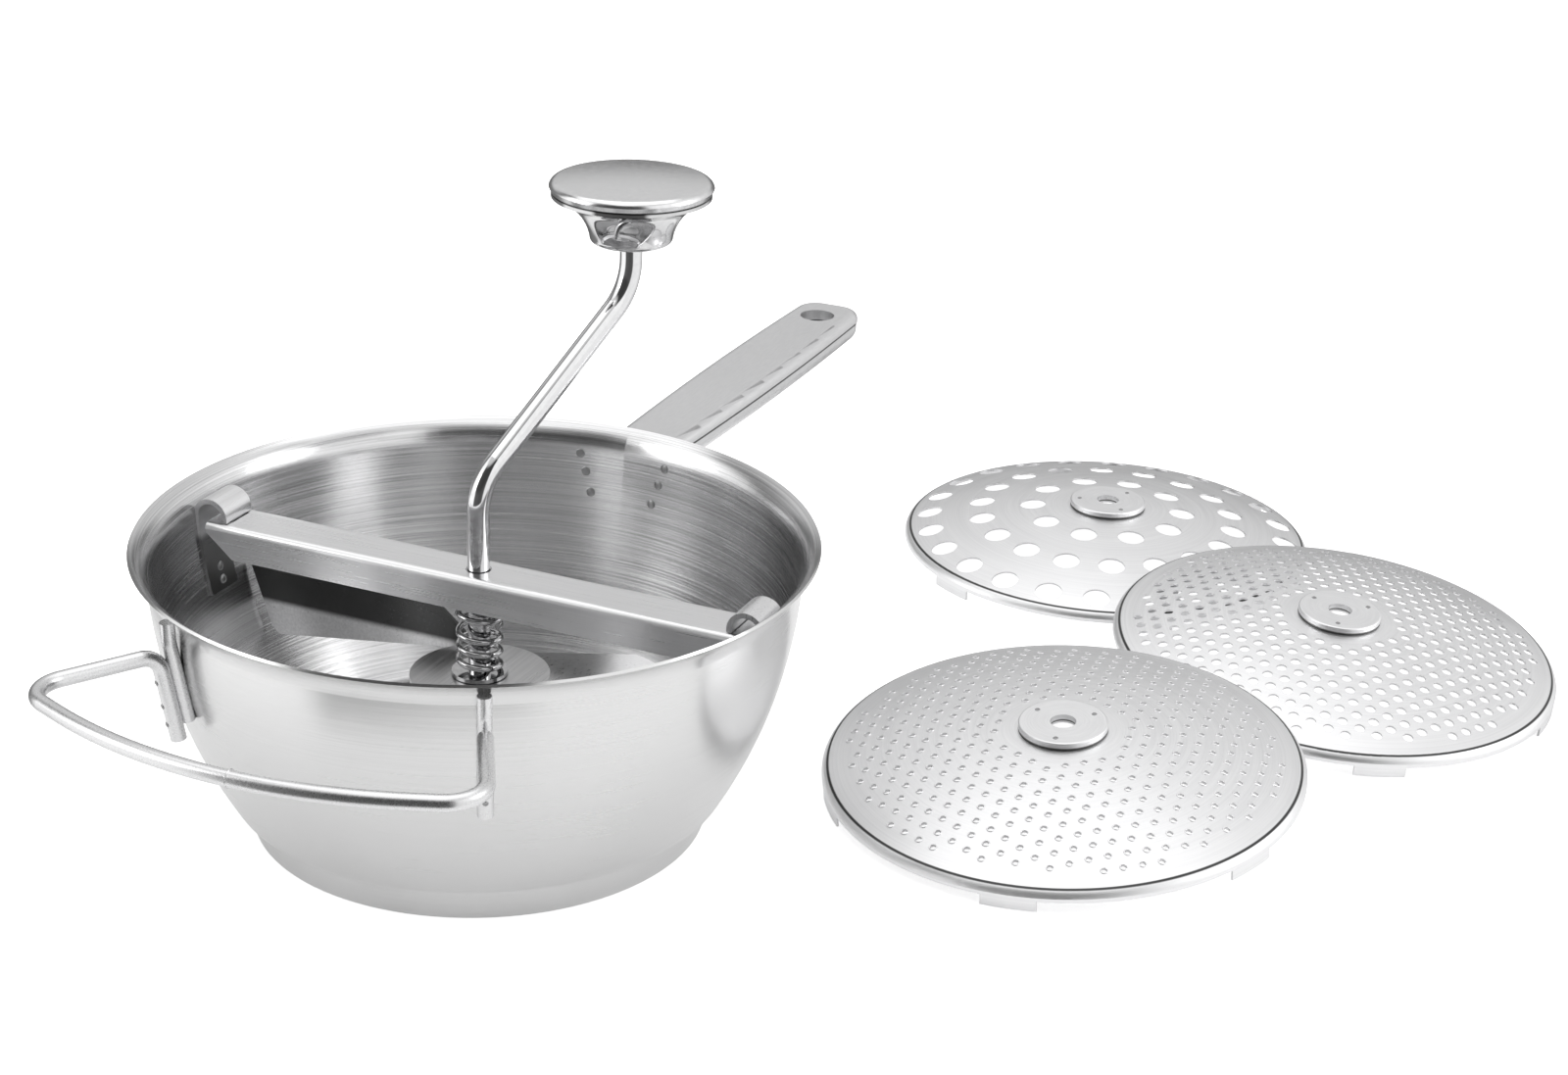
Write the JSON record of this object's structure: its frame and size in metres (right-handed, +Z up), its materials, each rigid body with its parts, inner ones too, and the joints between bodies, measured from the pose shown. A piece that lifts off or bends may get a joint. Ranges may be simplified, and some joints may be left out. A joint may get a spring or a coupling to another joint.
{
  "type": "rotary food mill",
  "caption": "Hand-cranked rotary food mill: flared bowl with long handle and loop handle, removable crossbar, sprung crank with blade, and loose domed sieve discs.",
  "frame": {"origin": "on the crank's axis, in the plane that the bowl's foot stands on", "axes": "+Z up along the crank's axis, +X along the long handle, Y along the crossbar"},
  "size_m": [0.5922, 0.4611, 0.2218],
  "materials": {
    "pressed_steel": "satin, brushed in circles",
    "satin_steel": "fine satin",
    "polished_steel": "polished stainless steel"
  },
  "bodies": {
    "bowl": {"bowl": "pressed_steel", "bar_hook_left": "pressed_steel", "bar_hook_right": "pressed_steel", "handle_bracket": "satin_steel", "handle_top_shell": "satin_steel", "handle_bottom_shell": "satin_steel", "loop_handle": "satin_steel", "loop_mount_wire_left": "satin_steel", "loop_mount_wire_right": "satin_steel"},
    "crossbar": {"crossbar": "pressed_steel", "upper_spring_washer": "polished_steel", "crank_spring": "polished_steel"},
    "spring_carrier": {"lower_spring_washer": "polished_steel"},
    "crank": {"crank_rod": "polished_steel", "mashing_blade": "pressed_steel", "centre_pilot": "polished_steel", "knob_retaining_ring": "polished_steel"},
    "knob": {"knob_cap": "polished_steel", "knob_cup": "polished_steel", "knob_bush": "polished_steel"},
    "coarse_disc": {"coarse_disc_sieve_plate": "pressed_steel", "coarse_disc_hub_plate": "pressed_steel"},
    "medium_disc": {"medium_disc_sieve_plate": "pressed_steel", "medium_disc_hub_plate": "pressed_steel"},
    "fine_disc": {"fine_disc_sieve_plate": "pressed_steel", "fine_disc_hub_plate": "pressed_steel"}
  },
  "joints": [
    {"name": "bar_press", "type": "slide", "parent": "bowl", "child": "crossbar", "axis": [0, 0, 1], "range_m": [-0.004, 0], "stiffness_N_per_m": 1500, "springref_m": 0.01, "deforming": ["crank_spring"]},
    {"name": "crank_lift", "type": "slide", "parent": "bowl", "child": "spring_carrier", "axis": [0, 0, 1], "range_m": [0, 0.005], "stiffness_N_per_m": 1500, "springref_m": -0.01, "deforming": ["crank_spring"]},
    {"name": "crank_turn", "type": "hinge", "parent": "spring_carrier", "child": "crank", "pos_m": [0, 0, 0], "axis": [0, 0, 1], "continuous": true},
    {"name": "knob_spin", "type": "hinge", "parent": "crank", "child": "knob", "pos_m": [0.06766, -0.02463, 0.2], "axis": [0, 0, 1], "continuous": true},
    {"name": "coarse_disc_lift", "type": "slide", "parent": "bowl", "child": "coarse_disc", "axis": [0, 0, 1], "range_m": [0, 0.15]},
    {"name": "medium_disc_lift", "type": "slide", "parent": "coarse_disc", "child": "medium_disc", "axis": [0, 0, 1], "range_m": [0, 0.15]},
    {"name": "fine_disc_lift", "type": "slide", "parent": "medium_disc", "child": "fine_disc", "axis": [0, 0, 1], "range_m": [0, 0.15]}
  ]
}
